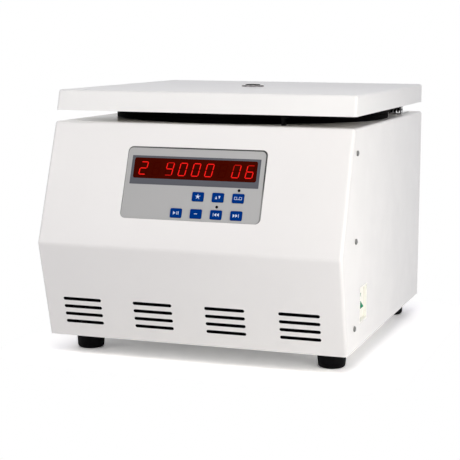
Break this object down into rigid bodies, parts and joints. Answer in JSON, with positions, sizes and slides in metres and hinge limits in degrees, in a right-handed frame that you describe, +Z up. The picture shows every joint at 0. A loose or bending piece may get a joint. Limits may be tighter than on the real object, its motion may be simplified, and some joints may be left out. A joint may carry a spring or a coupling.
{
  "type": "bench cytocentrifuge",
  "caption": "Bench cytocentrifuge with a hinged flat lid, a round chamber, a slide rotor with sample funnels and a sloping control panel.",
  "frame": {"origin": "on the bench, under the middle of the casing", "axes": "+Z up, -Y to the front where the control panel is, +X to the operator's right"},
  "size_m": [0.354, 0.4196, 0.3049],
  "materials": {
    "white_paint": "satin powder coat",
    "white_paint_lid": "gloss powder coat",
    "zinc_steel": "bright zinc",
    "stainless_steel": "brushed",
    "dark_spring_steel": "oiled",
    "chrome_ring": "polished",
    "cast_aluminium": "as cast",
    "anodised_aluminium": "satin anodised",
    "black_rubber": "matt",
    "grey_plastic": "fine matt",
    "cream_plastic": "fine matt",
    "green_plastic": "gloss, translucent",
    "blue_plastic": "matt",
    "black_plastic": "matt",
    "red_window": "gloss",
    "display_black": "gloss",
    "lamp_red": "gloss",
    "board_green": "solder resist",
    "nickel_brass": "nickel plated",
    "clear_glass": "clear",
    "funnel_plastic": "translucent",
    "cap_plastic": "gloss",
    "filter_paper": "plain"
  },
  "bodies": {
    "casing": {"casing_cover": "white_paint", "front_panel": "white_paint", "rear_panel": "white_paint", "base_tray": "zinc_steel", "foot_front_left": "black_rubber", "foot_front_right": "black_rubber", "foot_rear_left": "black_rubber", "foot_rear_right": "black_rubber", "foot_screws": "zinc_steel", "case_screws": "zinc_steel", "chamber_bowl": "stainless_steel", "chamber_gasket": "black_rubber", "armour_ring": "zinc_steel", "shaft_boot": "black_rubber", "motor_plate": "zinc_steel", "motor_dampers": "black_rubber", "motor_housing": "cast_aluminium", "motor_bearings": "chrome_ring", "hinge_deck_leaves": "zinc_steel", "hinge_pins": "stainless_steel", "lift_spring_brackets": "zinc_steel", "lift_springs": "dark_spring_steel", "lock_body": "zinc_steel", "control_panel": "grey_plastic", "display_window": "red_window", "display_module": "display_black", "control_board": "board_green", "indicator_leds": "lamp_red", "switch_housing": "cream_plastic", "inlet_socket": "black_plastic", "inlet_pins": "nickel_brass", "fan_frame": "black_plastic", "power_board": "board_green"},
    "rotor": {"drive_shaft": "stainless_steel", "rotor_hub": "anodised_aluminium", "rotor_plate": "anodised_aluminium", "slide_clips": "stainless_steel", "glass_slides": "clear_glass", "filter_cards": "filter_paper", "sample_funnels": "funnel_plastic", "funnel_caps": "cap_plastic", "rotor_nut": "black_plastic"},
    "lid": {"lid_shell": "white_paint_lid", "lid_pan": "white_paint_lid", "lid_liner": "black_rubber", "lid_collar": "black_rubber", "sight_ring": "chrome_ring", "sight_glass": "clear_glass", "lid_striker": "zinc_steel", "hinge_lid_leaves": "zinc_steel"},
    "lock_bolt": {"lock_bolt": "stainless_steel"},
    "fan_rotor": {"fan_rotor": "black_plastic"},
    "power_rocker": {"power_rocker": "green_plastic"},
    "key_star": {"key_star": "blue_plastic"},
    "key_up_down": {"key_up_down": "blue_plastic"},
    "key_mode": {"key_mode": "blue_plastic"},
    "key_start_pause": {"key_start_pause": "blue_plastic"},
    "key_stop": {"key_stop": "blue_plastic"},
    "key_back": {"key_back": "blue_plastic"},
    "key_forward": {"key_forward": "blue_plastic"}
  },
  "joints": [
    {"name": "lid_hinge", "type": "hinge", "parent": "casing", "child": "lid", "pos_m": [0, 0.205, 0.2722], "axis": [-1, 0, 0], "range_deg": [0, 80]},
    {"name": "rotor_spin", "type": "hinge", "parent": "casing", "child": "rotor", "pos_m": [0, 0.03, 0.2], "axis": [0, 0, 1], "continuous": true},
    {"name": "fan_spin", "type": "hinge", "parent": "casing", "child": "fan_rotor", "pos_m": [0.112, 0.195, 0.122], "axis": [0, 1, 0], "continuous": true},
    {"name": "lock_bolt_slide", "type": "slide", "parent": "casing", "child": "lock_bolt", "axis": [-1, 0, 0], "range_m": [0, 0.01]},
    {"name": "rocker_tilt", "type": "hinge", "parent": "casing", "child": "power_rocker", "pos_m": [0.166, -0.1135, 0.0712], "axis": [0, 1, 0], "range_deg": [0, 24]},
    {"name": "key_star_press", "type": "slide", "parent": "casing", "child": "key_star", "axis": [0, 0.9365, -0.3507], "range_m": [0, 0.0005], "stiffness_N_per_m": 800},
    {"name": "key_up_down_press", "type": "slide", "parent": "casing", "child": "key_up_down", "axis": [0, 0.9365, -0.3507], "range_m": [0, 0.0005], "stiffness_N_per_m": 800},
    {"name": "key_mode_press", "type": "slide", "parent": "casing", "child": "key_mode", "axis": [0, 0.9365, -0.3507], "range_m": [0, 0.0005], "stiffness_N_per_m": 800},
    {"name": "key_start_pause_press", "type": "slide", "parent": "casing", "child": "key_start_pause", "axis": [0, 0.9365, -0.3507], "range_m": [0, 0.0005], "stiffness_N_per_m": 800},
    {"name": "key_stop_press", "type": "slide", "parent": "casing", "child": "key_stop", "axis": [0, 0.9365, -0.3507], "range_m": [0, 0.0005], "stiffness_N_per_m": 800},
    {"name": "key_back_press", "type": "slide", "parent": "casing", "child": "key_back", "axis": [0, 0.9365, -0.3507], "range_m": [0, 0.0005], "stiffness_N_per_m": 800},
    {"name": "key_forward_press", "type": "slide", "parent": "casing", "child": "key_forward", "axis": [0, 0.9365, -0.3507], "range_m": [0, 0.0005], "stiffness_N_per_m": 800}
  ]
}
